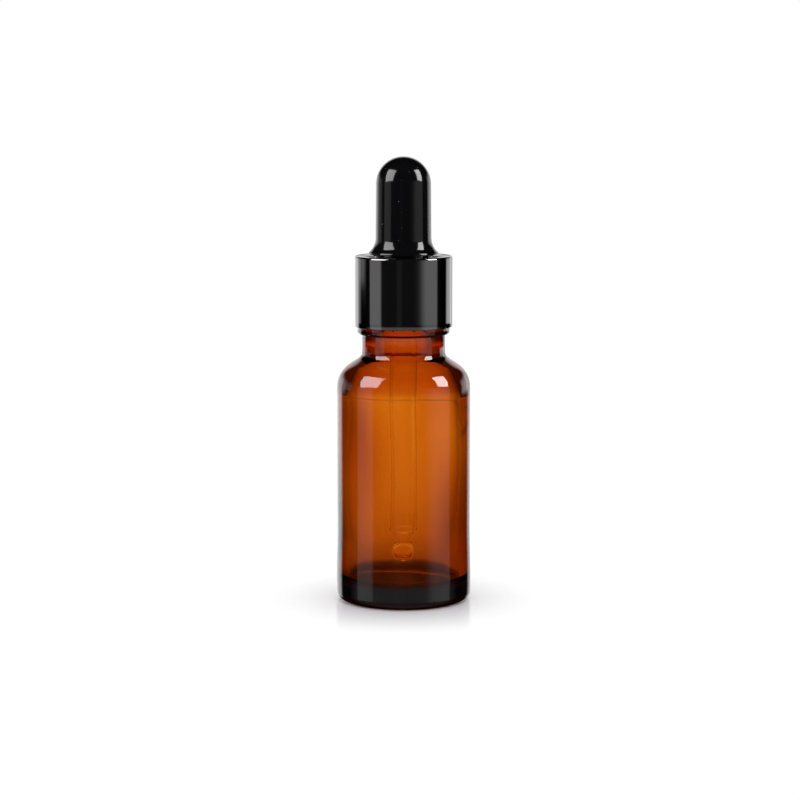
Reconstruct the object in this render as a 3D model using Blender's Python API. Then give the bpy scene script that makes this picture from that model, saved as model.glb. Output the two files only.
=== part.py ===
"""Ink bottle with a screw-on glass dropper, at real size, +Z up, standing on z = 0.

Five pieces: the moulded bottle, the threaded liner and the metal collar of the cap, the rubber
bulb, and the pipette. The bottle's axis is the Z axis. All turned shapes are outlines (radius,
height) carried once round that axis. The neck is a DIN 18 one, with a 3 mm lead.
"""

import math

import bmesh
import bpy

MM = 0.001
GAP = 0.3 * MM

# Bottle body
BODY_RADIUS = 14.3 * MM
HEEL_RADIUS = 14.5 * MM
HEEL_ROUND = 1.8 * MM
HEEL_STRAIGHT = 4.2 * MM
HEEL_TOP = 16.0 * MM
RING_INNER_RADIUS = 10.4 * MM
PUSH_UP_HEIGHT = 1.2 * MM
WALL = 2.05 * MM
FLOOR_CENTRE = 3.9 * MM
FLOOR_EDGE = 4.2 * MM
FLOOR_CORNER = 1.8 * MM

# Shoulder and neck
SHOULDER_START = 46.1 * MM
SHOULDER_ROUND = 5.6 * MM
INNER_SHOULDER_START = 44.0 * MM
INNER_SHOULDER_ROUND = 6.6 * MM
SHOULDER_SLOPE = math.radians(33.0)
NECK_RADIUS = 8.9 * MM
NECK_FILLET = 2.0 * MM
INNER_NECK_FILLET = 1.6 * MM
BORE_RADIUS = 5.9 * MM
MOUTH_HEIGHT = 71.3 * MM
LIP_ROUND = 0.5 * MM

# Bead under the cap
BEAD_RADIUS = 9.85 * MM
BEAD_BOTTOM = 57.4 * MM
BEAD_TOP = 59.8 * MM
BEAD_ROUND = 0.5 * MM

# Thread of the neck and of the liner
LEAD = 3.0 * MM
THREAD_ROOT = 8.1 * MM
THREAD_CREST = 8.95 * MM
THREAD_BASE_WIDTH = 1.7 * MM
THREAD_CREST_WIDTH = 0.9 * MM
THREAD_START = 62.6 * MM
THREAD_TURNS = 1.75
THREAD_FADE_TURNS = 0.1
THREAD_BURIED = 0.3 * MM
LINER_THREAD_CREST = 8.5 * MM
LINER_THREAD_CREST_WIDTH = 0.7 * MM
LINER_THREAD_BASE_WIDTH = 1.45 * MM
LINER_THREAD_BELOW = 1.4 * MM
LINER_THREAD_TURNS = 1.5

# Collar and liner
COLLAR_RADIUS = 10.45 * MM
COLLAR_WALL = 0.35 * MM
COLLAR_BOTTOM = 59.0 * MM
COLLAR_TOP = 74.1 * MM
COLLAR_ROUND = 0.5 * MM
COLLAR_HOLE = 6.45 * MM
LINER_RADIUS = COLLAR_RADIUS - COLLAR_WALL - GAP
LINER_INNER = 9.15 * MM
LINER_BOTTOM = BEAD_TOP + 0.4 * MM
LINER_TOP = COLLAR_TOP - COLLAR_WALL - GAP
LINER_PLATE = 0.8 * MM
LINER_CHAMFER = 0.35 * MM

# Bulb
FLANGE_RADIUS = 8.3 * MM
FLANGE_BOTTOM = MOUTH_HEIGHT + GAP
FLANGE_TOP = LINER_TOP - LINER_PLATE - GAP
BULB_NECK_RADIUS = 6.1 * MM
FLARE_RADIUS = 7.43 * MM
FLARE_BOTTOM = COLLAR_TOP + GAP
FLARE_TOP = 77.9 * MM
FLARE_ROUND = 4.0 * MM
BULB_LOW_RADIUS = 5.95 * MM
BULB_TOP_RADIUS = 5.85 * MM
BULB_HEIGHT = 95.1 * MM
BULB_WALL = 1.65 * MM
BULB_BORE = 3.2 * MM
POCKET_BOTTOM = 76.3 * MM
POCKET_TOP = 77.1 * MM

# Pipette
PIPETTE_RADIUS = 2.9 * MM
PIPETTE_BORE = 2.1 * MM
PIPETTE_TOP = 78.2 * MM
RIM_RADIUS = 3.6 * MM
RIM_START = 76.9 * MM
# Heights on the taper, each with the outer and the inner radius there
TAPER = (
    (15.1 * MM, 2.9 * MM, 2.1 * MM),
    (14.85 * MM, 2.8 * MM, 1.95 * MM),
    (14.55 * MM, 2.35 * MM, 1.7 * MM),
    (13.7 * MM, 1.95 * MM, 1.35 * MM),
    (12.7 * MM, 1.72 * MM, 1.1 * MM),
    (12.1 * MM, 1.62 * MM, 0.95 * MM),
)
BALL_RADIUS = 2.3 * MM
BALL_INNER_RADIUS = 1.7 * MM
BALL_HEIGHT = 10.3 * MM
TIP_HOLE = 0.5 * MM

# Facets
TURN_STEPS = 40
SLIM_STEPS = 20
THREAD_PHASE = math.radians(3.7)
SHARP_ANGLE = math.radians(35.0)


def clear_scene():
    """Removes whatever the file holds."""
    for obj in list(bpy.data.objects):
        bpy.data.objects.remove(obj, do_unlink=True)


def material(name, colour, roughness, metallic=0.0, transmission=0.0):
    """Returns a Principled material."""
    mat = bpy.data.materials.new(name)
    mat.use_nodes = True
    shader = mat.node_tree.nodes["Principled BSDF"]
    shader.inputs["Base Color"].default_value = (*colour, 1.0)
    shader.inputs["Roughness"].default_value = roughness
    shader.inputs["Metallic"].default_value = metallic
    shader.inputs["Transmission Weight"].default_value = transmission
    return mat


def arc(centre_r, centre_z, radius, start_deg, end_deg, steps):
    """Returns the points of an arc in the outline's plane, ends included."""
    points = []
    for i in range(steps + 1):
        angle = math.radians(start_deg + (end_deg - start_deg) * i / steps)
        points.append((centre_r + radius * math.cos(angle), centre_z + radius * math.sin(angle)))
    return points


def finish_mesh(bm, name, mat):
    """Makes a smooth-shaded object of a bmesh, with its edges kept sharp."""
    mesh = bpy.data.meshes.new(name)
    bm.to_mesh(mesh)
    bm.free()
    mesh.shade_smooth()
    mesh.set_sharp_from_angle(angle=SHARP_ANGLE)
    obj = bpy.data.objects.new(name, mesh)
    bpy.context.scene.collection.objects.link(obj)
    if mat is not None:
        mesh.materials.append(mat)
    return obj


def turned(name, outline, mat, steps=TURN_STEPS):
    """Spins an outline round Z. An outline that starts and ends on the axis is left open there."""
    bm = bmesh.new()
    verts = [bm.verts.new((r, 0.0, z)) for r, z in outline]
    edges = [bm.edges.new(pair) for pair in zip(verts, verts[1:])]
    if outline[0][0] > 0.0 or outline[-1][0] > 0.0:
        edges.append(bm.edges.new((verts[-1], verts[0])))
    bmesh.ops.spin(
        bm,
        geom=verts + edges,
        cent=(0.0, 0.0, 0.0),
        axis=(0.0, 0.0, 1.0),
        angle=math.tau,
        steps=steps,
        use_merge=True,
    )
    bmesh.ops.remove_doubles(bm, verts=bm.verts[:], dist=1e-6)
    bmesh.ops.recalc_face_normals(bm, faces=bm.faces[:])
    return finish_mesh(bm, name, mat)


def thread_ridge(name, root, crest, base_width, crest_width, start, turns):
    """Makes a helical ridge that stands from root to crest and fades into the wall at its ends."""
    outward = 1.0 if crest > root else -1.0
    buried = root - outward * THREAD_BURIED
    lowest_crest = root - outward * THREAD_BURIED / 2
    count = round(turns * TURN_STEPS)
    bm = bmesh.new()
    rings = []
    for i in range(count + 1):
        turn = i / TURN_STEPS
        fade = min(1.0, turn / THREAD_FADE_TURNS, (turns - turn) / THREAD_FADE_TURNS)
        tip = lowest_crest + (crest - lowest_crest) * fade
        mid = start + LEAD * turn
        section = (
            (buried, mid - base_width / 2),
            (tip, mid - crest_width / 2),
            (tip, mid + crest_width / 2),
            (buried, mid + base_width / 2),
        )
        angle = math.tau * turn + THREAD_PHASE
        cos, sin = math.cos(angle), math.sin(angle)
        rings.append([bm.verts.new((r * cos, r * sin, z)) for r, z in section])
    for low, high in zip(rings, rings[1:]):
        for a in range(4):
            b = (a + 1) % 4
            bm.faces.new((low[a], low[b], high[b], high[a]))
    bm.faces.new(rings[0])
    bm.faces.new(rings[-1])
    bmesh.ops.recalc_face_normals(bm, faces=bm.faces[:])
    ridge = finish_mesh(bm, name, None)
    ridge.hide_render = True
    ridge.display_type = "WIRE"
    return ridge


def join_ridge(obj, ridge):
    """Unites a thread ridge with the wall that carries it."""
    union = obj.modifiers.new("thread", "BOOLEAN")
    union.operation = "UNION"
    union.solver = "EXACT"
    union.object = ridge


def shoulder(wall_radius, start, round_radius, neck_radius, fillet, steps):
    """Returns the shoulder's outline from the wall up to the neck, both ends included."""
    slope_deg = math.degrees(SHOULDER_SLOPE)
    top = arc(wall_radius - round_radius, start, round_radius, 0.0, 90.0 - slope_deg, steps)
    foot_r, foot_z = top[-1]
    fillet_r = neck_radius + fillet
    touch_r = fillet_r - fillet * math.sin(SHOULDER_SLOPE)
    touch_z = foot_z + (foot_r - touch_r) * math.tan(SHOULDER_SLOPE)
    fillet_z = touch_z + fillet * math.cos(SHOULDER_SLOPE)
    return top + arc(fillet_r, fillet_z, fillet, 270.0 - slope_deg, 180.0, steps - 2)


def bottle_outline():
    """Returns the bottle's outline from the middle of its underside round to its inner floor."""
    ring_outer = HEEL_RADIUS - HEEL_ROUND
    push_up = []
    for part in (0.0, 0.35, 0.65, 0.88, 1.0):
        push_up.append((part * RING_INNER_RADIUS, PUSH_UP_HEIGHT * (1.0 - part**2)))
    heel = arc(ring_outer, HEEL_ROUND, HEEL_ROUND, -90.0, 0.0, 5)
    heel.append((HEEL_RADIUS, HEEL_STRAIGHT))
    heel.append(((HEEL_RADIUS + BODY_RADIUS) / 2, (HEEL_STRAIGHT + HEEL_TOP) / 2))
    heel.append((BODY_RADIUS, HEEL_TOP))
    bead_centre = BEAD_RADIUS - BEAD_ROUND
    neck = arc(bead_centre, BEAD_BOTTOM + BEAD_ROUND, BEAD_ROUND, -90.0, 0.0, 3)
    neck = [(NECK_RADIUS, BEAD_BOTTOM)] + neck
    neck += arc(bead_centre, BEAD_TOP - BEAD_ROUND, BEAD_ROUND, 0.0, 90.0, 3)
    neck.append((THREAD_ROOT, BEAD_TOP))
    lip_z = MOUTH_HEIGHT - LIP_ROUND
    lip = arc(THREAD_ROOT - LIP_ROUND, lip_z, LIP_ROUND, 0.0, 90.0, 3)
    lip += arc(BORE_RADIUS + LIP_ROUND, lip_z, LIP_ROUND, 90.0, 180.0, 3)
    inner_radius = BODY_RADIUS - WALL
    inside = shoulder(
        inner_radius, INNER_SHOULDER_START, INNER_SHOULDER_ROUND, BORE_RADIUS, INNER_NECK_FILLET, 6
    )
    inside.reverse()
    corner_r, corner_z = inner_radius - FLOOR_CORNER, FLOOR_EDGE + FLOOR_CORNER
    inside += arc(corner_r, corner_z, FLOOR_CORNER, 0.0, -90.0, 5)
    inside.append((corner_r / 2, FLOOR_CENTRE + (FLOOR_EDGE - FLOOR_CENTRE) / 4))
    inside.append((0.0, FLOOR_CENTRE))
    outside = shoulder(
        BODY_RADIUS, SHOULDER_START, SHOULDER_ROUND, NECK_RADIUS, NECK_FILLET, 7
    )
    return push_up + heel + outside + neck + lip + inside


def collar_outline():
    """Returns the section of the thin metal shell, with its top plate and hole."""
    inner = COLLAR_RADIUS - COLLAR_WALL
    inner_round = COLLAR_ROUND - COLLAR_WALL / 2
    plate = COLLAR_TOP - COLLAR_WALL
    outline = [(COLLAR_RADIUS, COLLAR_BOTTOM)]
    outline += arc(
        COLLAR_RADIUS - COLLAR_ROUND, COLLAR_TOP - COLLAR_ROUND, COLLAR_ROUND, 0.0, 90.0, 4
    )
    outline += [(COLLAR_HOLE, COLLAR_TOP), (COLLAR_HOLE, plate)]
    outline += arc(inner - inner_round, plate - inner_round, inner_round, 90.0, 0.0, 2)
    outline.append((inner, COLLAR_BOTTOM))
    return outline


def liner_outline():
    """Returns the section of the plastic liner without its thread."""
    plate = LINER_TOP - LINER_PLATE
    return [
        (LINER_RADIUS, LINER_BOTTOM),
        (LINER_RADIUS, LINER_TOP - LINER_CHAMFER),
        (LINER_RADIUS - LINER_CHAMFER, LINER_TOP),
        (COLLAR_HOLE, LINER_TOP),
        (COLLAR_HOLE, plate),
        (LINER_INNER - LINER_CHAMFER, plate),
        (LINER_INNER, plate - LINER_CHAMFER),
        (LINER_INNER, LINER_BOTTOM + LINER_CHAMFER),
        (LINER_INNER + LINER_CHAMFER, LINER_BOTTOM),
    ]


def bulb_outline():
    """Returns the bulb's section from its dome down the outside and back up the inside."""
    dome_z = BULB_HEIGHT - BULB_TOP_RADIUS
    outline = arc(0.0, dome_z, BULB_TOP_RADIUS, 90.0, 0.0, 8)
    outline[0] = (0.0, BULB_HEIGHT)
    flare_centre = BULB_LOW_RADIUS + FLARE_ROUND
    flare_angle = math.degrees(math.acos((flare_centre - FLARE_RADIUS) / FLARE_ROUND))
    outline += arc(flare_centre, FLARE_TOP, FLARE_ROUND, 180.0, 180.0 + flare_angle, 5)
    outline += [(FLARE_RADIUS, FLARE_BOTTOM), (BULB_NECK_RADIUS, FLARE_BOTTOM)]
    outline += [(BULB_NECK_RADIUS, FLANGE_TOP), (FLANGE_RADIUS, FLANGE_TOP)]
    outline += [(FLANGE_RADIUS, FLANGE_BOTTOM), (BULB_BORE, FLANGE_BOTTOM)]
    inner = BULB_TOP_RADIUS - BULB_WALL
    outline += [(BULB_BORE, POCKET_BOTTOM), (inner, POCKET_TOP)]
    outline += arc(0.0, dome_z, inner, 0.0, 90.0, 6)
    outline[-1] = (0.0, dome_z + inner)
    return outline


def pipette_outline():
    """Returns the pipette's section from its rim down the outside and back up the bore."""
    rim_round = RIM_RADIUS - PIPETTE_RADIUS
    outline = [(PIPETTE_BORE + rim_round, PIPETTE_TOP)]
    outline += arc(RIM_RADIUS - rim_round / 2, PIPETTE_TOP - rim_round / 2, rim_round / 2, 90, -50, 4)
    outline.append((PIPETTE_RADIUS, RIM_START))
    outline += [(outer, height) for height, outer, _ in TAPER]
    waist, waist_bore = TAPER[-1][1:]
    first = math.degrees(math.acos(waist * 1.03 / BALL_RADIUS))
    last = -math.degrees(math.acos(TIP_HOLE / BALL_RADIUS))
    outline += arc(0.0, BALL_HEIGHT, BALL_RADIUS, first, last, 9)
    first = -math.degrees(math.acos(TIP_HOLE / BALL_INNER_RADIUS))
    last = math.degrees(math.acos(waist_bore * 1.03 / BALL_INNER_RADIUS))
    outline += arc(0.0, BALL_HEIGHT, BALL_INNER_RADIUS, first, last, 8)
    outline += [(inner, height) for height, _, inner in reversed(TAPER)]
    outline.append((PIPETTE_BORE, RIM_START))
    return outline


def build():
    """Makes the five pieces."""
    clear_scene()
    amber = material("amber_glass", (0.45, 0.13, 0.02), 0.03, transmission=1.0)
    aluminium = material("black_aluminium", (0.02, 0.018, 0.018), 0.12, metallic=1.0)
    liner_plastic = material("liner_plastic", (0.03, 0.03, 0.03), 0.45)
    rubber = material("black_rubber", (0.012, 0.012, 0.013), 0.35)
    clear = material("clear_glass", (0.95, 0.97, 0.96), 0.02, transmission=1.0)

    bottle = turned("glass_bottle", bottle_outline(), amber)
    join_ridge(
        bottle,
        thread_ridge(
            "neck_thread_tool",
            THREAD_ROOT,
            THREAD_CREST,
            THREAD_BASE_WIDTH,
            THREAD_CREST_WIDTH,
            THREAD_START,
            THREAD_TURNS,
        ),
    )
    liner = turned("inner_cap", liner_outline(), liner_plastic)
    join_ridge(
        liner,
        thread_ridge(
            "liner_thread_tool",
            LINER_INNER,
            LINER_THREAD_CREST,
            LINER_THREAD_BASE_WIDTH,
            LINER_THREAD_CREST_WIDTH,
            THREAD_START - LINER_THREAD_BELOW,
            LINER_THREAD_TURNS,
        ),
    )
    turned("metal_collar", collar_outline(), aluminium)
    turned("rubber_bulb", bulb_outline(), rubber)
    turned("glass_pipette", pipette_outline(), clear, SLIM_STEPS)


build()
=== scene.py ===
"""Looks of an amber glass ink bottle with a screw-on dropper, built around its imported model."""

import logging
import math
from dataclasses import dataclass
from enum import Enum
from typing import Callable, Iterable

import bmesh
import bpy
from mathutils import Matrix, Vector, noise
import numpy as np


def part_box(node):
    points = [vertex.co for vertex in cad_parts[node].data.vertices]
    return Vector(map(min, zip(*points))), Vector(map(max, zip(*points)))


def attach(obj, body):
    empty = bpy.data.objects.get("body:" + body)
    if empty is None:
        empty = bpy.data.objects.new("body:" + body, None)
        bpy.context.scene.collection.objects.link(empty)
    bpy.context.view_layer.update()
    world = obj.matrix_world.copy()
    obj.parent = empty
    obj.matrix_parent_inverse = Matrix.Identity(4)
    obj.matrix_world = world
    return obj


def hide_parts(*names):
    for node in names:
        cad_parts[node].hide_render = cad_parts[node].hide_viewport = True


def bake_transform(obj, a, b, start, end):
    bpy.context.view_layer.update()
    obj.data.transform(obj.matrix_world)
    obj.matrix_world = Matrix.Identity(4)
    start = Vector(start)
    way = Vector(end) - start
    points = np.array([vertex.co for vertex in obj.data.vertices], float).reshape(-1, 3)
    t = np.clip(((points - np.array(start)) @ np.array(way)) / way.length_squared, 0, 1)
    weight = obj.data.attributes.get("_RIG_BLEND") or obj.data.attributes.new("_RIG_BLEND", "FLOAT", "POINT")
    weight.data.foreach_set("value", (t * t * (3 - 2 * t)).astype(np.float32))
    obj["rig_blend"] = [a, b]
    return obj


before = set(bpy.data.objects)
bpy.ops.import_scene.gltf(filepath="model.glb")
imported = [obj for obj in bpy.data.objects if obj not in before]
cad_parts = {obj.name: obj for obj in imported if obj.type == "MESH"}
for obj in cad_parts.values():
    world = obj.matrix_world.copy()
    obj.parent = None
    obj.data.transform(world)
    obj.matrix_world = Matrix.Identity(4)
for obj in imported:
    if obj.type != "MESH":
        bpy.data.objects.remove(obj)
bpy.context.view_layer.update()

MM = 0.001
HAIR = 0.01 * MM
WHITE = (1.0, 1.0, 1.0)
log = logging.getLogger("ink_bottle")

Point = tuple[float, float]


class Body(Enum):
    """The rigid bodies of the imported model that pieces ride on."""

    BOTTLE = "bottle"
    DROPPER = "dropper"
    CAP = "cap"
    BULB = "bulb"


class Slot(Enum):
    """The record's material slots."""

    AMBER_GLASS = "amber_glass"
    LINER = "liner_plastic"
    ALUMINIUM = "black_aluminium"
    RUBBER = "black_rubber"
    CLEAR_GLASS = "clear_glass"


# ---------------------------------------------------------------------------------------------
# Outlines and turning
# ---------------------------------------------------------------------------------------------


def arc(centre: Point, radius: float, start: float, end: float, steps: int) -> list[Point]:
    """Gives the points of an arc in the plane of a turned outline, ends included.

    Args:
        centre: Radius and height of the arc's centre, in metres.
        radius: The arc's own radius.
        start: First angle in degrees, from the outward direction towards up.
        end: Last angle in degrees.
        steps: Number of chords.

    Returns:
        The points as (radius, height) pairs.
    """
    angles = (math.radians(start + (end - start) * i / steps) for i in range(steps + 1))
    return [(centre[0] + radius * math.cos(a), centre[1] + radius * math.sin(a)) for a in angles]


def run(start: Point, end: Point, steps: int) -> list[Point]:
    """Gives evenly spaced points of a straight stretch, ends included.

    Args:
        start: First point, as radius and height.
        end: Last point.
        steps: Number of equal stretches.

    Returns:
        The points as (radius, height) pairs.
    """
    mix = [i / steps for i in range(steps + 1)]
    return [(start[0] + (end[0] - start[0]) * t, start[1] + (end[1] - start[1]) * t) for t in mix]


def ease(value: float) -> float:
    """Smooths a share from 0 to 1, and clips it to that range."""
    t = min(1.0, max(0.0, value))
    return t * t * (3.0 - 2.0 * t)


def turn(outline: Iterable[Point], steps: int) -> bmesh.types.BMesh:
    """Spins an outline once round the Z axis into a closed shell with its faces outward.

    Args:
        outline: Points of the section. It is closed by a last edge unless both ends are on Z.
        steps: Number of facets round the axis.

    Returns:
        The shell as a bmesh.
    """
    bm = bmesh.new()
    verts = [bm.verts.new((r, 0.0, z)) for r, z in outline]
    edges = [bm.edges.new(pair) for pair in zip(verts, verts[1:])]
    if verts[0].co.x > 1e-7 or verts[-1].co.x > 1e-7:
        edges.append(bm.edges.new((verts[-1], verts[0])))
    bmesh.ops.spin(
        bm,
        geom=verts + edges,
        cent=(0.0, 0.0, 0.0),
        axis=(0.0, 0.0, 1.0),
        angle=math.tau,
        steps=steps,
        use_merge=True,
    )
    bmesh.ops.remove_doubles(bm, verts=bm.verts[:], dist=1e-7)
    bmesh.ops.recalc_face_normals(bm, faces=bm.faces[:])
    return bm


def piece(bm: bmesh.types.BMesh, name: str, material: bpy.types.Material, sharp: float = 40.0
          ) -> bpy.types.Object:
    """Makes a smooth-shaded object of a bmesh.

    Args:
        bm: The finished shape, which is freed.
        name: The object's name.
        material: Its finish.
        sharp: Edges that turn more than this many degrees stay sharp.

    Returns:
        The new object, at the origin.
    """
    mesh = bpy.data.meshes.new(name)
    bm.to_mesh(mesh)
    bm.free()
    mesh.shade_smooth()
    mesh.set_sharp_from_angle(angle=math.radians(sharp))
    mesh.materials.append(material)
    obj = bpy.data.objects.new(name, mesh)
    bpy.context.scene.collection.objects.link(obj)
    return obj


@dataclass(frozen=True)
class ThreadForm:
    """A rounded helical ridge on a turned wall. Lengths are in metres, angles in radians."""

    start: float
    turns: float
    height: float
    crest_width: float
    base_width: float
    lead: float = 3.0 * MM
    phase: float = math.radians(3.7)
    fade_turns: float = 0.12

    def rise(self, angle: float, z: float) -> float:
        """Tells how far the ridge stands out of the wall.

        Args:
            angle: Direction round Z.
            z: Height on the wall.

        Returns:
            The height of the ridge there, from 0 to the full height.
        """
        share = ((angle - self.phase) / math.tau) % 1.0
        near = round((z - self.start) / self.lead - share)
        best = 0.0
        for whole in (near - 1, near, near + 1):
            at = whole + share
            if not 0.0 <= at <= self.turns:
                continue
            off = abs(z - self.start - self.lead * at)
            flank = (self.base_width / 2 - off) / ((self.base_width - self.crest_width) / 2)
            fade = min(at, self.turns - at) / self.fade_turns
            best = max(best, ease(flank) * ease(fade))
        return best * self.height


def push_radially(
    bm: bmesh.types.BMesh, chosen: Callable[[Vector], bool], amount: Callable[[float, float], float]
) -> None:
    """Moves chosen points of a turned wall away from the axis.

    Args:
        bm: The turned shell.
        chosen: Tells which points move.
        amount: Gives the move in metres for an angle and a height. Negative goes inwards.
    """
    for vert in bm.verts:
        if not chosen(vert.co):
            continue
        radius = math.hypot(vert.co.x, vert.co.y)
        angle = math.atan2(vert.co.y, vert.co.x)
        scale = (radius + amount(angle, vert.co.z)) / radius
        vert.co.x *= scale
        vert.co.y *= scale


# ---------------------------------------------------------------------------------------------
# Finishes
# ---------------------------------------------------------------------------------------------


Socket = bpy.types.NodeSocket
Feed = Socket | float | tuple[float, ...]


class NodeSheet:
    """A node tree being written, with short ways to add sums, ramps and patterns."""

    def __init__(self, tree: bpy.types.NodeTree) -> None:
        """Takes the tree to write in."""
        self.tree = tree

    def add(self, kind: str, **settings: object) -> bpy.types.Node:
        """Adds a node of a kind and sets its plain properties."""
        node = self.tree.nodes.new(kind)
        for name, value in settings.items():
            setattr(node, name, value)
        return node

    def put(self, socket: Socket, value: Feed) -> None:
        """Links a socket to an input, or sets the input's plain value."""
        if isinstance(value, bpy.types.NodeSocket):
            self.tree.links.new(value, socket)
        else:
            socket.default_value = value

    def sum(self, operation: str, *values: Feed) -> Socket:
        """Adds a math node.

        Args:
            operation: Blender's name of the operation.
            values: Its operands, as sockets or numbers.

        Returns:
            The result socket.
        """
        node = self.add("ShaderNodeMath", operation=operation)
        for socket, value in zip(node.inputs, values):
            self.put(socket, value)
        return node.outputs["Value"]

    def spread(self, source: Socket, low: float, high: float, floor: float = 0.3,
               ceiling: float = 0.7, smooth: bool = False) -> Socket:
        """Maps a value from floor..ceiling to low..high.

        Args:
            source: The value.
            low: Result at the floor.
            high: Result at the ceiling.
            floor: The value's low mark.
            ceiling: The value's high mark.
            smooth: Eases both ends instead of clipping them.

        Returns:
            The mapped value socket.
        """
        kind = "SMOOTHSTEP" if smooth else "LINEAR"
        node = self.add("ShaderNodeMapRange", interpolation_type=kind)
        marks = {"Value": source, "From Min": floor, "From Max": ceiling, "To Min": low, "To Max": high}
        for name, value in marks.items():
            self.put(node.inputs[name], value)
        return node.outputs["Result"]

    def blend_colours(self, share: Feed, a: Feed, b: Feed) -> Socket:
        """Mixes two colours.

        Args:
            share: 0 for the first colour, 1 for the second.
            a: The first colour, as three numbers or a socket.
            b: The second colour.

        Returns:
            The mixed colour's socket.
        """
        node = self.add("ShaderNodeMix", data_type="RGBA")
        self.put(node.inputs["Factor"], share)
        for name, colour in (("A", a), ("B", b)):
            whole = colour if isinstance(colour, bpy.types.NodeSocket) else (*colour, 1.0)
            self.put(node.inputs[name], whole)
        return node.outputs["Result"]

    def blend_shaders(self, share: Feed, a: Socket, b: Socket) -> Socket:
        """Mixes two shaders: the first at 0, the second at 1."""
        node = self.add("ShaderNodeMixShader")
        for socket, value in zip(node.inputs, (share, a, b)):
            self.put(socket, value)
        return node.outputs["Shader"]

    def split(self, vector: Socket) -> list[Socket]:
        """Takes a vector apart into x, y and z."""
        node = self.add("ShaderNodeSeparateXYZ")
        self.put(node.inputs["Vector"], vector)
        return list(node.outputs)


class Recipe(NodeSheet):
    """The node tree of one material, on Object coordinates."""

    def __init__(self, name: str) -> None:
        """Starts a material with a Principled shader.

        Args:
            name: The material's name.
        """
        self.material = bpy.data.materials.new(name)
        self.material.use_nodes = True
        super().__init__(self.material.node_tree)
        self.shader = self.tree.nodes["Principled BSDF"]
        self.output = self.tree.nodes["Material Output"]
        self.coords = self.add("ShaderNodeTexCoord")

    def set(self, **values: float | tuple[float, ...]) -> None:
        """Sets plain values on the shader, named with underscores for spaces."""
        for name, value in values.items():
            self.shader.inputs[name.replace("_", " ")].default_value = value

    def mapped(self, scale: tuple[float, float, float]) -> Socket:
        """Stretches Object coordinates by a scale for each axis."""
        node = self.add("ShaderNodeMapping")
        self.put(node.inputs["Scale"], scale)
        self.put(node.inputs["Vector"], self.coords.outputs["Object"])
        return node.outputs["Vector"]

    def noise(self, scale: float, detail: float = 2.0,
              stretch: tuple[float, float, float] = (1.0, 1.0, 1.0)) -> Socket:
        """Adds a noise pattern.

        Args:
            scale: Waves per metre.
            detail: Octaves.
            stretch: Scale of each axis before the pattern.

        Returns:
            The pattern's value socket.
        """
        node = self.add("ShaderNodeTexNoise")
        self.put(node.inputs["Scale"], scale)
        self.put(node.inputs["Detail"], detail)
        self.put(node.inputs["Vector"], self.mapped(stretch))
        return node.outputs["Fac"]

    def feed(self, name: str, source: Socket) -> None:
        """Links a pattern to one of the shader's inputs."""
        self.put(self.shader.inputs[name], source)

    def bump(self, source: Socket, distance: float, strength: float = 1.0) -> None:
        """Roughens the surface by a pattern.

        Args:
            source: The pattern, as height.
            distance: The height of a full step, in metres.
            strength: Share of the effect.
        """
        node = self.add("ShaderNodeBump")
        for name, value in (("Distance", distance), ("Strength", strength), ("Height", source)):
            self.put(node.inputs[name], value)
        before = self.shader.inputs["Normal"]
        if before.is_linked:
            self.put(node.inputs["Normal"], before.links[0].from_socket)
        self.put(before, node.outputs["Normal"])


@dataclass(frozen=True)
class TintedGlass:
    """Moulded glass whose colour comes from what it absorbs on the way through."""

    name: str
    keep: tuple[float, float, float]
    density: float
    ior: float = 1.52
    ripple: float = 0.02 * MM
    ripple_scale: float = 90.0

    def material(self) -> bpy.types.Material:
        """Writes the glass."""
        recipe = Recipe(self.name)
        recipe.set(Transmission_Weight=1.0, Roughness=0.0, IOR=self.ior)
        recipe.set(Base_Color=(*WHITE, 1.0))
        recipe.bump(recipe.noise(self.ripple_scale, 1.0, (1.0, 1.0, 0.45)), self.ripple)
        absorb = recipe.add("ShaderNodeVolumeAbsorption")
        recipe.put(absorb.inputs["Color"], (*self.keep, 1.0))
        recipe.put(absorb.inputs["Density"], self.density)
        recipe.put(recipe.output.inputs["Volume"], absorb.outputs["Volume"])
        return recipe.material


@dataclass(frozen=True)
class DustyRubber:
    """Smooth black rubber with a low gloss, fine grain and a few specks of dust."""

    name: str
    colour: tuple[float, float, float] = (0.0025, 0.0025, 0.003)
    dust: tuple[float, float, float] = (0.10, 0.10, 0.10)

    def material(self) -> bpy.types.Material:
        """Writes the rubber."""
        recipe = Recipe(self.name)
        recipe.set(IOR=1.5, Specular_IOR_Level=0.4)
        specks = recipe.spread(recipe.noise(1500.0, 1.0), 0.0, 1.0, 0.765, 0.80)
        recipe.feed("Base Color", recipe.blend_colours(specks, self.colour, self.dust))
        recipe.feed("Roughness", recipe.spread(recipe.noise(260.0, 3.0), 0.08, 0.13))
        recipe.bump(recipe.noise(2600.0, 2.0), 0.002 * MM)
        return recipe.material


@dataclass(frozen=True)
class MirrorBlackMetal:
    """Polished aluminium with a black electroplated skin."""

    name: str
    colour: tuple[float, float, float] = (0.19, 0.185, 0.185)

    def material(self) -> bpy.types.Material:
        """Writes the metal."""
        recipe = Recipe(self.name)
        recipe.set(Metallic=1.0)
        tint = recipe.spread(recipe.noise(55.0, 2.0, (1.0, 1.0, 0.2)), 0.0, 1.0)
        darker = tuple(0.86 * c for c in self.colour)
        recipe.feed("Base Color", recipe.blend_colours(tint, self.colour, darker))
        recipe.feed("Roughness", recipe.spread(recipe.noise(900.0, 2.0, (1.0, 1.0, 0.05)), 0.04, 0.08))
        recipe.bump(recipe.noise(700.0, 2.0, (1.0, 1.0, 0.04)), 0.0012 * MM)
        return recipe.material


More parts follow.
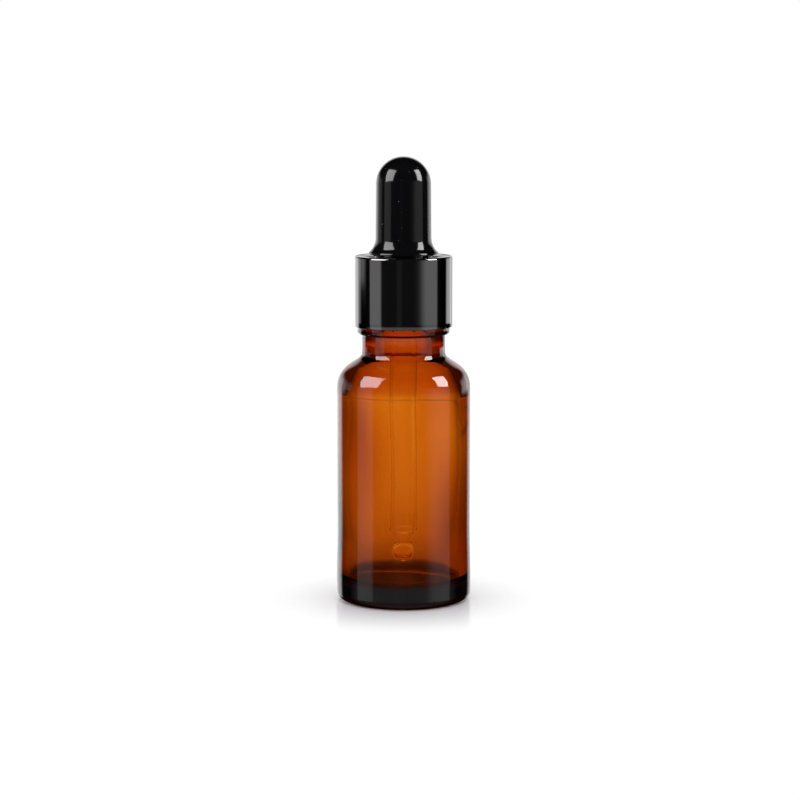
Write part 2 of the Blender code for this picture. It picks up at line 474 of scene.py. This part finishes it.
@dataclass(frozen=True)
class MouldedPlastic:
    """Black polypropylene with the soft sheen of a moulding."""

    name: str
    colour: tuple[float, float, float] = (0.02, 0.02, 0.021)

    def material(self) -> bpy.types.Material:
        """Writes the plastic."""
        recipe = Recipe(self.name)
        recipe.set(IOR=1.49)
        lighter = tuple(1.5 * c for c in self.colour)
        clouds = recipe.spread(recipe.noise(160.0, 2.0), 0.0, 1.0)
        recipe.feed("Base Color", recipe.blend_colours(clouds, self.colour, lighter))
        recipe.feed("Roughness", recipe.spread(recipe.noise(420.0, 3.0), 0.34, 0.5))
        recipe.bump(recipe.noise(1800.0, 2.0), 0.008 * MM)
        return recipe.material


# ---------------------------------------------------------------------------------------------
# The pieces
# ---------------------------------------------------------------------------------------------


@dataclass
class Bottle:
    """The moulded amber bottle."""

    finish: TintedGlass
    body_radius: float = 14.3 * MM
    heel_round: float = 1.8 * MM
    heel_straight: float = 4.2 * MM
    heel_top: float = 16.0 * MM
    ring_inner: float = 10.4 * MM
    push_up: float = 1.2 * MM
    wall: float = 2.05 * MM
    floor_centre: float = 3.9 * MM
    floor_edge: float = 4.2 * MM
    floor_corner: float = 1.8 * MM
    shoulder_start: float = 46.1 * MM
    shoulder_round: float = 5.6 * MM
    inner_shoulder_start: float = 44.0 * MM
    inner_shoulder_round: float = 6.6 * MM
    slope: float = 33.0
    neck_radius: float = 8.9 * MM
    neck_fillet: float = 2.0 * MM
    inner_neck_fillet: float = 1.6 * MM
    bore: float = 5.9 * MM
    lip_round: float = 0.5 * MM
    bead_radius: float = 9.85 * MM
    bead_bottom: float = 57.4 * MM
    bead_top: float = 59.8 * MM
    bead_round: float = 0.55 * MM
    bead_fillet: float = 0.2 * MM
    thread_root: float = 8.1 * MM
    root_fillet: float = 0.3 * MM
    thread: ThreadForm = ThreadForm(62.6 * MM, 1.75, 0.82 * MM, 0.7 * MM, 1.7 * MM)
    off_centre: float = 0.08 * MM
    sag: float = 0.42 * MM
    sag_length: float = 22.0 * MM
    facets: int = 160

    def shoulder(self, wall: float, start: float, bend: float, neck: float, fillet: float
                 ) -> list[Point]:
        """Draws the shoulder from the wall up to the neck.

        Args:
            wall: Radius of the wall below.
            start: Height where the wall ends.
            bend: Radius of the shoulder's bend.
            neck: Radius of the neck above.
            fillet: Radius of the hollow between slope and neck.

        Returns:
            The outline's points.
        """
        angle = math.radians(self.slope)
        bow = arc((wall - bend, start), bend, 0.0, 90.0 - self.slope, 14)
        foot = bow[-1]
        touch_r = neck + fillet - fillet * math.sin(angle)
        touch_z = foot[1] + (foot[0] - touch_r) * math.tan(angle)
        centre = (neck + fillet, touch_z + fillet * math.cos(angle))
        slope = run(foot, (touch_r, touch_z), 3)[1:-1]
        return bow + slope + arc(centre, fillet, 270.0 - self.slope, 180.0, 9)

    def outline(self, base_radius: float, mouth: float) -> list[Point]:
        """Draws the whole section.

        Args:
            base_radius: Largest radius, at the heel.
            mouth: Height of the mouth.

        Returns:
            The outline from the middle of the underside to the middle of the inner floor.
        """
        shares = [i / 12 for i in range(13)]
        push_up = [(t * self.ring_inner, self.push_up * (1.0 - t * t)) for t in shares]
        heel = arc((base_radius - self.heel_round, self.heel_round), self.heel_round, -90, 0, 10)
        shrink = base_radius - self.body_radius
        for t in shares:
            height = self.heel_straight + (self.heel_top - self.heel_straight) * t
            heel.append((base_radius - shrink * ease(t), height))
        side = run(heel[-1], (self.body_radius, self.shoulder_start), 20)[1:-1]
        outer = self.shoulder(self.body_radius, self.shoulder_start, self.shoulder_round,
                              self.neck_radius, self.neck_fillet)
        bead_r = self.bead_radius - self.bead_round
        under = self.bead_fillet
        bead = arc((self.neck_radius + under, self.bead_bottom - under), under, 180, 90, 4)
        bead += arc((bead_r, self.bead_bottom + self.bead_round), self.bead_round, -90, 0, 7)
        bead += arc((bead_r, self.bead_top - self.bead_round), self.bead_round, 0, 90, 7)
        lip_z = mouth - self.lip_round
        above = self.root_fillet
        threads = arc((self.thread_root + above, self.bead_top + above), above, 270, 180, 4)
        threads += run(threads[-1], (self.thread_root, lip_z), 70)[1:-1]
        lip = arc((self.thread_root - self.lip_round, lip_z), self.lip_round, 0, 90, 6)
        lip += arc((self.bore + self.lip_round, lip_z), self.lip_round, 90, 180, 6)
        inner_wall = self.body_radius - self.wall
        inside = self.shoulder(inner_wall, self.inner_shoulder_start, self.inner_shoulder_round,
                               self.bore, self.inner_neck_fillet)[::-1]
        corner = (inner_wall - self.floor_corner, self.floor_edge + self.floor_corner)
        inside += run(inside[-1], (inner_wall, corner[1]), 20)[1:-1]
        inside += arc(corner, self.floor_corner, 0.0, -90.0, 10)
        dish = self.floor_edge - self.floor_centre
        floor = [(corner[0] * (1 - t), self.floor_centre + dish * (1 - t) ** 2) for t in shares[1:]]
        return push_up + heel + side + outer + bead + threads + lip + inside + floor

    def blown(self, angle: float, z: float) -> float:
        """Gives the unevenness that blowing leaves on the inner wall.

        Args:
            angle: Direction round Z.
            z: Height on the wall.

        Returns:
            The move outwards. It dies away towards the floor and the neck.
        """
        above = (z - self.floor_edge) / (1.5 * self.floor_corner)
        below = (self.shoulder_start + self.shoulder_round - z) / (1.4 * self.shoulder_round)
        place = Vector((1.1 * math.cos(angle), 1.1 * math.sin(angle), z / self.sag_length))
        sag = self.sag * noise.noise(place)
        return (self.off_centre * math.cos(angle) + sag) * ease(above) * ease(below)

    def build(self) -> bpy.types.Object:
        """Makes the bottle, on its own body and in place of its CAD node."""
        _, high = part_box("glass_bottle")
        bm = turn(self.outline(high.x, high.z), self.facets)
        thread_low = self.bead_top + self.root_fillet + 10 * HAIR
        thread_high = high.z - self.lip_round - HAIR
        push_radially(
            bm,
            lambda co: thread_low < co.z < thread_high
            and math.hypot(co.x, co.y) > self.thread_root - HAIR,
            self.thread.rise,
        )
        inner_wall = self.body_radius - self.wall
        push_radially(
            bm,
            lambda co: self.floor_edge < co.z < self.shoulder_start + self.shoulder_round
            and self.bore < math.hypot(co.x, co.y) < inner_wall + HAIR,
            self.blown,
        )
        bottle = piece(bm, "amber_bottle", self.finish.material(), 50.0)
        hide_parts("glass_bottle")
        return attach(bottle, Body.BOTTLE.value)


@dataclass
class Collar:
    """The thin metal shell of the cap."""

    finish: MirrorBlackMetal
    wall: float = 0.35 * MM
    top_round: float = 0.45 * MM
    hole: float = 6.45 * MM
    lip: float = 0.12 * MM
    facets: int = 192

    def outline(self, radius: float, bottom: float, top: float) -> list[Point]:
        """Draws the shell's section.

        Args:
            radius: The outer radius.
            bottom: Height of the open edge.
            top: Height of the plate.

        Returns:
            The outline, from the open edge up the outside.
        """
        inner = radius - self.wall
        plate = top - self.wall
        bend = self.top_round - self.wall / 2
        points = arc((radius - self.lip, bottom + self.lip), self.lip, -90, 0, 4)
        points += run(points[-1], (radius, top - self.top_round), 12)[1:-1]
        points += arc((radius - self.top_round, top - self.top_round), self.top_round, 0, 90, 8)
        points += arc((self.hole + self.lip, top - self.lip), self.lip, 90, 180, 4)
        points += [(self.hole, plate)]
        points += arc((inner - bend, plate - bend), bend, 90, 0, 5)
        points += run(points[-1], (inner, bottom + self.lip), 6)[1:]
        points += [(inner + self.lip / 2, bottom)]
        return points

    def build(self) -> bpy.types.Object:
        """Makes the collar, on the cap's body and in place of its CAD node."""
        low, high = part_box("metal_collar")
        shell = piece(turn(self.outline(high.x, low.z, high.z), self.facets), "collar_shell",
                      self.finish.material(), 50.0)
        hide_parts("metal_collar")
        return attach(shell, Body.CAP.value)


@dataclass
class Liner:
    """The threaded plastic cap inside the collar."""

    finish: MouldedPlastic
    hole: float = 6.45 * MM
    plate: float = 0.8 * MM
    inner: float = 9.15 * MM
    chamfer: float = 0.35 * MM
    thread: ThreadForm = ThreadForm(61.2 * MM, 1.5, 0.62 * MM, 0.55 * MM, 1.45 * MM)
    facets: int = 128

    def outline(self, radius: float, bottom: float, top: float) -> list[Point]:
        """Draws the liner's section.

        Args:
            radius: The outer radius.
            bottom: Height of the open edge.
            top: Height of the top plate.

        Returns:
            The outline, from the open edge up the outside.
        """
        under = top - self.plate
        cut = self.chamfer
        points = [(radius, bottom), (radius, top - cut), (radius - cut, top)]
        points += [(self.hole, top), (self.hole, under), (self.inner - cut, under)]
        points += run((self.inner, under - cut), (self.inner, bottom + cut), 80)
        points += [(self.inner + cut, bottom)]
        return points

    def build(self) -> bpy.types.Object:
        """Makes the liner, on the cap's body and in place of its CAD node."""
        low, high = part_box("inner_cap")
        bm = turn(self.outline(high.x, low.z, high.z), self.facets)
        push_radially(
            bm,
            lambda co: low.z + self.chamfer < co.z < high.z - self.plate - self.chamfer
            and math.hypot(co.x, co.y) < self.inner + HAIR,
            lambda angle, z: -self.thread.rise(angle, z),
        )
        liner = piece(bm, "threaded_liner", self.finish.material())
        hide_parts("inner_cap")
        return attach(liner, Body.CAP.value)


@dataclass
class Bulb:
    """The rubber squeeze bulb, whose neck and flange stay put while its wall is pressed in."""

    finish: DustyRubber
    flange_radius: float = 8.3 * MM
    neck_radius: float = 6.1 * MM
    flare_radius: float = 7.43 * MM
    flare_round: float = 4.0 * MM
    flare_top: float = 77.9 * MM
    low_radius: float = 5.95 * MM
    top_radius: float = 5.85 * MM
    wall: float = 1.65 * MM
    bore: float = 3.2 * MM
    pocket: float = 0.8 * MM
    gap: float = 0.3 * MM
    flange_thickness: float = 0.75 * MM
    edge: float = 0.12 * MM
    facets: int = 128

    def outline(self, bottom: float, top: float, collar_top: float) -> list[Point]:
        """Draws the bulb's section.

        Args:
            bottom: Height of the flange's underside.
            top: Height of the dome.
            collar_top: Height of the collar that the flare sits over.

        Returns:
            The outline from the dome down the outside and back up the inside.
        """
        dome = top - self.top_radius
        points = arc((0.0, dome), self.top_radius, 90, 0, 24)
        points[0] = (0.0, top)
        points += run((self.top_radius, dome), (self.low_radius, self.flare_top), 28)[1:-1]
        centre = self.low_radius + self.flare_round
        sweep = math.degrees(math.acos((centre - self.flare_radius) / self.flare_round))
        points += arc((centre, self.flare_top), self.flare_round, 180, 180 + sweep, 14)
        foot = collar_top + self.gap
        points += arc((self.flare_radius - self.edge, foot + self.edge), self.edge, 0, -90, 4)
        points += [(self.neck_radius, foot)]
        flange_top = bottom + self.flange_thickness
        points += [(self.neck_radius, flange_top), (self.flange_radius, flange_top)]
        points += [(self.flange_radius, bottom), (self.bore, bottom)]
        inner = self.top_radius - self.wall
        pocket = self.flare_top - 2 * self.pocket
        points += [(self.bore, pocket), (inner, pocket + self.pocket)]
        points += arc((0.0, dome), inner, 0, 90, 14)
        points[-1] = (0.0, dome + inner)
        return points

    def build(self) -> bpy.types.Object:
        """Makes the bulb, dented across the squeeze joint, in place of its CAD node."""
        low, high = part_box("rubber_bulb")
        collar_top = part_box("metal_collar")[1].z
        bm = turn(self.outline(low.z, high.z, collar_top), self.facets)
        bulb = piece(bm, "squeeze_bulb", self.finish.material(), 50.0)
        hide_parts("rubber_bulb")
        middle = (self.flare_top + high.z) / 2
        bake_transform(bulb, Body.DROPPER.value, Body.BULB.value,
                 start=(0.0, self.top_radius, middle), end=(0.0, -self.top_radius, middle))
        self.keep_ends(bulb, middle, (high.z - self.flare_top) / 2)
        return bulb

    def keep_ends(self, bulb: bpy.types.Object, middle: float, reach: float) -> None:
        """Holds the flare and the dome still, so that only the wall between them gives way.

        It gives way most at its middle. The blend across it moves the front fully and the back not.

        Args:
            bulb: The piece, after its blend is set.
            middle: Height of the thumb.
            reach: Distance above and below it where the wall stays put.
        """
        weights = bulb.data.attributes["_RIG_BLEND"].data
        for vert, weight in zip(bulb.data.vertices, weights):
            off = abs(vert.co.z - middle) / reach
            weight.value *= ease(1.0 - off)


@dataclass
class Pipette:
    """The clear glass dropper, with a hollow ball at its tip.

    The taper is given from the top down, as heights with the outer and the inner radius there.
    """

    finish: TintedGlass
    radius: float = 2.9 * MM
    bore: float = 2.1 * MM
    rim_start: float = 76.9 * MM
    taper: tuple[tuple[float, float, float], ...] = (
        (15.1 * MM, 2.9 * MM, 2.1 * MM),
        (14.85 * MM, 2.8 * MM, 1.95 * MM),
        (14.55 * MM, 2.35 * MM, 1.7 * MM),
        (13.7 * MM, 1.95 * MM, 1.35 * MM),
        (12.7 * MM, 1.72 * MM, 1.1 * MM),
        (12.1 * MM, 1.62 * MM, 0.95 * MM),
    )
    ball: float = 2.3 * MM
    ball_inside: float = 1.7 * MM
    ball_height: float = 10.3 * MM
    ball_overlap: float = 1.03
    tip_hole: float = 0.5 * MM
    tip_round: float = 0.1 * MM
    facets: int = 72

    def outline(self, rim: float, top: float) -> list[Point]:
        """Draws the pipette's section.

        Args:
            rim: Radius of the flared rim.
            top: Height of the rim.

        Returns:
            The outline from the rim down the outside and back up the bore.
        """
        lip = (rim - self.radius) / 2
        points = arc((rim - lip, top - lip), lip, 90, -50, 9)
        outside = [(outer, height) for height, outer, _ in self.taper]
        inside = [(inner, height) for height, _, inner in reversed(self.taper)]
        points += run((self.radius, self.rim_start), outside[0], 16) + outside[1:]
        waist, waist_bore = outside[-1][0], inside[0][0]
        first = math.degrees(math.acos(waist * self.ball_overlap / self.ball))
        last = -math.degrees(math.acos((self.tip_hole + self.tip_round) / self.ball))
        points += arc((0.0, self.ball_height), self.ball, first, last, 22)
        first = -math.degrees(math.acos((self.tip_hole + self.tip_round / 2) / self.ball_inside))
        last = math.degrees(math.acos(waist_bore * self.ball_overlap / self.ball_inside))
        points += [(self.tip_hole, points[-1][1] + 0.8 * self.tip_round)]
        points += arc((0.0, self.ball_height), self.ball_inside, first, last, 18)
        points += inside[:-1] + run(inside[-1], (self.bore, self.rim_start), 16)
        points += [(self.bore + lip, top - lip / 2)]
        return points

    def build(self) -> bpy.types.Object:
        """Makes the pipette, on the dropper's body and in place of its CAD node."""
        _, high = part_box("glass_pipette")
        bm = turn(self.outline(high.x, high.z), self.facets)
        tube = piece(bm, "dropper_tube", self.finish.material(), 50.0)
        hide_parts("glass_pipette")
        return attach(tube, Body.DROPPER.value)


# ---------------------------------------------------------------------------------------------
# Studio
# ---------------------------------------------------------------------------------------------


@dataclass(frozen=True)
class Softbox:
    """A big soft light, given by the part of the sky that it fills as seen from the bottle."""

    name: str
    azimuths: tuple[float, float]
    elevations: tuple[float, float]
    brightness: float
    roll: float = 0.0
    distance: float = 1.0
    centre_height: float = 0.07

    def place(self) -> bpy.types.Object:
        """Adds the light. Azimuth 0 is in front, and grows towards +X."""
        azimuth, elevation = (math.radians(sum(pair) / 2) for pair in (self.azimuths, self.elevations))
        spans = [math.radians(abs(b - a)) for a, b in (self.azimuths, self.elevations)]
        lamp = bpy.data.lights.new(self.name, "AREA")
        lamp.shape = "RECTANGLE"
        lamp.size, lamp.size_y = (2 * self.distance * math.tan(span / 2) for span in spans)
        lamp.energy = self.brightness * math.pi * lamp.size * lamp.size_y
        obj = bpy.data.objects.new(self.name, lamp)
        flat = self.distance * math.cos(elevation)
        obj.location = (flat * math.sin(azimuth), -flat * math.cos(azimuth),
                        self.centre_height + self.distance * math.sin(elevation))
        aim = Vector((0.0, 0.0, self.centre_height)) - obj.location
        facing = aim.to_track_quat("-Z", "Y").to_matrix()
        obj.rotation_euler = (facing @ Matrix.Rotation(math.radians(self.roll), 3, "Z")).to_euler()
        obj.visible_camera = False
        obj.visible_transmission = False
        obj.visible_diffuse = False
        bpy.context.scene.collection.objects.link(obj)
        return obj


@dataclass(frozen=True)
class Backlight:
    """The light that the glass lets through, dimmer in regular gaps round the bottle."""

    level: float = 1.42
    dip: float = 0.58
    gaps: float = 4.0
    deep_surfaces: float = 4.5


BACKLIGHT = Backlight()


@dataclass(frozen=True)
class Strip:
    """An upright strip of the surround that polished surfaces mirror. Angles are in degrees."""

    start: float
    end: float
    start_soft: float
    end_soft: float
    brightness: float


@dataclass
class Surround(NodeSheet):
    """White surroundings, with the darker studio that gloss and glass pick up.

    A pair whose name ends in _z or _y is the range of the direction's z or y over which a part of
    the light changes. z runs from -1 straight down to 1 straight up, y from -1 in front to 1 behind.
    The lobe is a range of the cosine that makes the gaps.
    """

    mirrored: tuple[Strip, ...] = (
        Strip(-86.0, -54.0, 0.8, 3.5, 0.45),
        Strip(46.0, 86.5, 12.0, 0.8, 0.42),
        Strip(-176.0, -133.0, 6.0, 5.0, 1.55),
        Strip(146.0, 176.0, 6.0, 6.0, 0.9),
        Strip(-15.0, -4.0, 4.0, 4.0, 0.03),
    )
    mirrored_high: tuple[Strip, ...] = (
        Strip(-137.0, -122.0, 5.0, 6.0, 0.55),
        Strip(-84.0, -56.0, 2.0, 3.0, 0.10),
        Strip(36.0, 84.0, 14.0, 2.0, 0.10),
        Strip(121.0, 150.0, 4.0, 3.0, 1.3),
    )
    mirrored_top: tuple[Strip, ...] = (
        Strip(-128.0, -102.0, 6.0, 7.0, 0.42),
    )
    inside_high: tuple[Strip, ...] = (
        Strip(-166.0, -114.0, 6.0, 6.0, 1.5),
        Strip(114.0, 166.0, 6.0, 6.0, 1.2),
    )
    inside: tuple[Strip, ...] = (
        Strip(-94.5, -57.0, 1.0, 8.0, 3.6),
        Strip(57.0, 94.5, 6.0, 1.0, 2.4),
    )
    dark: float = 0.022
    low_glow: float = 0.30
    nadir: float = 0.55
    rear_share: float = 0.04
    narrow_floor: float = 0.05
    inner_rise: float = 0.12
    deep_rise: float = 0.9
    diffuse: float = 1.16
    high_z: tuple[float, float] = (-0.125, -0.108)
    top_z: tuple[float, float] = (-0.0815, -0.078)
    sky_z: tuple[float, float] = (0.10, 0.30)
    ground_z: tuple[float, float] = (-0.42, -0.28)
    glow_z: tuple[float, float] = (-0.208, -0.182)
    nadir_z: tuple[float, float] = (-0.42, -0.24)
    level_z: tuple[float, float] = (-0.04, 0.02)
    sweep_z: tuple[float, float] = (0.04, 0.10)
    sweep_y: tuple[float, float] = (0.80, 0.92)
    front_y: tuple[float, float] = (-0.3, 0.3)
    lobe: tuple[float, float] = (-0.2, 0.75)

    def __post_init__(self) -> None:
        """Starts the world's tree."""
        world = bpy.data.worlds.new("surround")
        bpy.context.scene.world = world
        world.use_nodes = True
        world.node_tree.nodes.clear()
        super().__init__(world.node_tree)

    def strips(self, bearing: Socket, strips: Iterable[Strip]) -> Socket:
        """Adds up some strips.

        Args:
            bearing: The direction's azimuth in degrees.
            strips: The strips.

        Returns:
            The brightness socket.
        """
        total: Feed = 0.0
        for strip in strips:
            rise = self.spread(bearing, 0.0, strip.brightness, strip.start - strip.start_soft,
                               strip.start + strip.start_soft, True)
            fall = self.spread(bearing, 1.0, 0.0, strip.end - strip.end_soft,
                               strip.end + strip.end_soft, True)
            total = self.sum("MULTIPLY_ADD", rise, fall, total)
        return total

    def glow(self, strength: Feed) -> Socket:
        """Makes a neutral background shader of a strength."""
        node = self.add("ShaderNodeBackground")
        self.put(node.inputs["Strength"], strength)
        self.put(node.inputs["Color"], (*WHITE, 1.0))
        return node.outputs["Background"]

    def gloss(self, bearing: Socket, y: Socket, z: Socket, high: Socket) -> Socket:
        """Writes the studio that polished surfaces mirror.

        Args:
            bearing: The direction's azimuth in degrees.
            y: The direction's share towards the back.
            z: Its share upwards.
            high: 1 for the higher directions, which have strips of their own, otherwise 0.

        Returns:
            The brightness socket.
        """
        studio = self.sum("MULTIPLY_ADD", high, self.strips(bearing, self.mirrored_high),
                          self.strips(bearing, self.mirrored))
        top = self.spread(z, 0.0, 1.0, *self.top_z, True)
        studio = self.sum("MULTIPLY_ADD", top, self.strips(bearing, self.mirrored_top), studio)
        studio = self.sum("MULTIPLY", studio, self.spread(z, 1.0, 0.0, *self.sky_z, True))
        studio = self.sum("MULTIPLY", studio, self.spread(z, 0.0, 1.0, *self.ground_z, True))
        low = self.spread(z, self.low_glow, self.dark, *self.glow_z, True)
        low = self.sum("MULTIPLY", low, self.spread(z, self.nadir, 1.0, *self.nadir_z, True))
        low = self.sum("MULTIPLY", low, self.spread(y, 1.0, self.rear_share, *self.front_y, True))
        studio = self.sum("ADD", studio, low)
        sweep = self.sum("MULTIPLY", self.spread(y, 0.0, 1.0, *self.sweep_y, True),
                         self.spread(z, 0.0, 1.0, *self.sweep_z, True))
        return self.spread(sweep, studio, 1.0, 0.0, 1.0)

    def through_glass(self, angle: Socket, bearing: Socket, z: Socket, high: Socket,
                      path: bpy.types.bpy_prop_collection) -> Socket:
        """Writes the light that comes through the glass, straight or after bouncing in its wall.

        Args:
            angle: The direction's azimuth in radians.
            bearing: The same in degrees.
            z: The direction's share upwards.
            high: 1 for the higher directions, which have further strips, otherwise 0.
            path: The light path's outputs.

        Returns:
            The brightness socket.
        """
        level = BACKLIGHT.level
        wave = self.sum("COSINE", self.sum("MULTIPLY", angle, BACKLIGHT.gaps))
        straight = self.spread(wave, 1.0 - BACKLIGHT.dip, 1.0, 0.0, 1.0)
        straight = self.sum("MULTIPLY", straight, level)
        narrow = self.spread(wave, self.narrow_floor, level, *self.lobe, True)
        inner = self.sum("ADD", narrow, self.strips(bearing, self.inside))
        inner = self.sum("MULTIPLY_ADD", high, self.strips(bearing, self.inside_high), inner)
        rise = self.spread(z, 1.0, self.inner_rise, *self.level_z, True)
        inner = self.sum("MULTIPLY", inner, rise)
        bounced = self.sum("GREATER_THAN", path["Glossy Depth"], 0.5)
        deep = self.sum("GREATER_THAN", path["Transmission Depth"], BACKLIGHT.deep_surfaces)
        upward = self.sum("GREATER_THAN", z, 0.0)
        deeper = self.spread(upward, level, self.deep_rise * level, 0.0, 1.0)
        inner = self.spread(deep, inner, deeper, 0.0, 1.0)
        straight = self.spread(deep, straight, level, 0.0, 1.0)
        return self.spread(bounced, straight, inner, 0.0, 1.0)

    def build(self) -> None:
        """Writes the world: what the camera, matt, polished and clear surfaces each see."""
        x, y, z = self.split(self.add("ShaderNodeTexCoord").outputs["Generated"])
        angle = self.sum("ARCTAN2", x, self.sum("MULTIPLY", y, -1.0))
        bearing = self.sum("DEGREES", angle)
        path = self.add("ShaderNodeLightPath").outputs
        high = self.spread(z, 0.0, 1.0, *self.high_z, True)
        studio = self.gloss(bearing, y, z, high)
        through = self.through_glass(angle, bearing, z, high, path)
        seen = self.blend_shaders(path["Is Diffuse Ray"], self.glow(1.0), self.glow(self.diffuse))
        seen = self.blend_shaders(path["Is Glossy Ray"], seen, self.glow(studio))
        seen = self.blend_shaders(path["Is Transmission Ray"], seen, self.glow(through))
        out = self.add("ShaderNodeOutputWorld")
        self.put(out.inputs["Surface"], seen)


@dataclass
class Table:
    """The white table, which turns into an even white sweep away from the bottle.

    Through the glass the table shows painted shadow: rings of colour by distance from the bottle's axis,
    dark close to the bottle where its shadow falls, with a darker grey band further out, all glowing by
    emission as painted light.
    """

    size: float = 1.2
    near: float = 14.5 * MM
    far: float = 40.0 * MM
    sweep: float = 1.04
    colour: tuple[float, float, float] = (0.95, 0.945, 0.965)
    gap_start: float = 25.0 * MM
    gap_end: float = 80.0 * MM
    deep_reach: float = 70.0 * MM
    # Painted shadow: the table's colours through the glass, dark near the axis where the bottle's shadow
    # falls, white further out, with a darker grey band.
    painted_shadow_rings: tuple[tuple[float, tuple[float, float, float]], ...] = (
        (14.0 * MM, (0.04, 0.04, 0.04)),
        (22.0 * MM, (0.10, 0.08, 0.08)),
        (36.0 * MM, (0.40, 0.30, 0.24)),
        (67.0 * MM, (0.68, 0.52, 0.40)),
        (142.0 * MM, (0.85, 0.72, 0.60)),
        (286.0 * MM, WHITE),
        (440.0 * MM, WHITE),
        (490.0 * MM, (0.62, 0.60, 0.58)),
        (550.0 * MM, (0.62, 0.60, 0.58)),
        (620.0 * MM, WHITE),
    )

    def through_glass(self, recipe: Recipe, reach: Socket, depth: Socket) -> Socket:
        """Writes how the table looks through the tinted glass: a glowing emission with painted shadow,
        darker close to the bottle, and painted shade in regular gaps round it.

        Args:
            recipe: The table's recipe.
            reach: Distance from the bottle's axis.
            depth: Number of glass surfaces that the ray has passed.

        Returns:
            The shader.
        """
        ramp = recipe.add("ShaderNodeValToRGB")
        stops = ramp.color_ramp.elements
        farthest = self.painted_shadow_rings[-1][0]
        for index, (radius, colour) in enumerate(self.painted_shadow_rings):
            stop = stops[index] if index < 2 else stops.new(1.0)
            stop.position = radius / farthest
            stop.color = (*colour, 1.0)
        deep = recipe.sum("GREATER_THAN", depth, BACKLIGHT.deep_surfaces)
        brighter = recipe.sum("MAXIMUM", reach, recipe.sum("MULTIPLY", deep, self.deep_reach))
        recipe.put(ramp.inputs["Fac"], recipe.sum("DIVIDE", brighter, farthest))
        x, y, _ = recipe.split(recipe.coords.outputs["Object"])
        angle = recipe.sum("ARCTAN2", x, y)
        # Painted shade: the table seen through the glass dims in regular gaps round the bottle.
        wave = recipe.sum("COSINE", recipe.sum("MULTIPLY", angle, BACKLIGHT.gaps))
        wave = recipe.spread(wave, 0.0, 1.0, 0.0, 1.0)
        dip = recipe.spread(reach, 0.0, BACKLIGHT.dip, self.gap_start, self.gap_end, True)
        dip = recipe.spread(deep, dip, 0.0, 0.0, 1.0)
        level = recipe.sum("MULTIPLY_ADD", recipe.sum("SUBTRACT", wave, 1.0), dip, 1.0)
        # The table glows here, painted light that stands in for the lit table seen through the glass.
        glow = recipe.add("ShaderNodeEmission")
        recipe.put(glow.inputs["Color"], ramp.outputs["Color"])
        recipe.put(glow.inputs["Strength"], recipe.sum("MULTIPLY", level, BACKLIGHT.level))
        return glow.outputs["Emission"]

    def build(self) -> bpy.types.Object:
        """Lays the table."""
        bm = bmesh.new()
        bmesh.ops.create_circle(bm, cap_ends=True, radius=self.size, segments=96)
        recipe = Recipe("white_table")
        recipe.set(Base_Color=(*self.colour, 1.0), Specular_IOR_Level=0.25)
        recipe.feed("Roughness", recipe.spread(recipe.noise(40.0, 2.0), 0.09, 0.12))
        length = recipe.add("ShaderNodeVectorMath", operation="LENGTH")
        recipe.put(length.inputs["Vector"], recipe.coords.outputs["Object"])
        reach = length.outputs["Value"]
        white = recipe.add("ShaderNodeEmission")
        recipe.put(white.inputs["Strength"], self.sweep)
        share = recipe.spread(reach, 0.0, 1.0, self.near, self.far, True)
        seen = recipe.blend_shaders(share, recipe.shader.outputs["BSDF"], white.outputs["Emission"])
        path = recipe.add("ShaderNodeLightPath").outputs
        through = self.through_glass(recipe, reach, path["Transmission Depth"])
        seen = recipe.blend_shaders(path["Is Transmission Ray"], seen, through)
        recipe.put(recipe.output.inputs["Surface"], seen)
        table = piece(bm, "table", recipe.material)
        table.visible_glossy = False
        return table


@dataclass
class Studio:
    """Table, surround, soft lights and camera."""

    camera_distance: float = 0.5
    camera_height: float = 0.108
    aim_height: float = 0.0431
    side_step: float = -0.73 * MM
    lens: float = 105.8
    sensor: float = 36.0
    softboxes: tuple[Softbox, ...] = (
        Softbox("left_softbox", (-86.0, -50.0), (12.0, 54.0), 7.5, 14.0),
        Softbox("right_softbox", (68.0, 90.0), (12.0, 50.0), 12.0, -18.0),
    )

    def camera(self) -> None:
        """Sets the camera in front, a little above the bottle."""
        lens = bpy.data.cameras.new("front_camera")
        lens.lens = self.lens
        lens.sensor_width = self.sensor
        cam = bpy.data.objects.new("front_camera", lens)
        cam.location = (self.side_step, -self.camera_distance, self.camera_height)
        aim = Vector((self.side_step, 0.0, self.aim_height)) - cam.location
        cam.rotation_euler = aim.to_track_quat("-Z", "Y").to_euler()
        lens.clip_start = 0.01
        bpy.context.scene.collection.objects.link(cam)
        bpy.context.scene.camera = cam

    def build(self) -> None:
        """Puts up table, surround, lights and camera."""
        Table().build()
        Surround().build()
        for softbox in self.softboxes:
            softbox.place()
        self.camera()
        bpy.context.scene.view_settings.view_transform = "Standard"


# ---------------------------------------------------------------------------------------------
# The whole
# ---------------------------------------------------------------------------------------------


AMBER = TintedGlass("amber_glass", (0.874, 0.615, 0.0), 1380.0)
CLEAR = TintedGlass("clear_glass", (0.92, 0.97, 0.95), 60.0, ior=1.47, ripple=0.004 * MM)


def main() -> None:
    """Builds the studio and the five pieces."""
    logging.basicConfig(level=logging.INFO, format="%(name)s: %(message)s")
    Studio().build()
    makers = (
        Bottle(AMBER),
        Pipette(CLEAR),
        Bulb(DustyRubber("black_rubber")),
        Liner(MouldedPlastic("liner_plastic")),
        Collar(MirrorBlackMetal("black_aluminium")),
    )
    for maker in makers:
        made = maker.build()
        log.info("%s has %d faces", made.name, len(made.data.polygons))


if __name__ == "__main__":
    main()
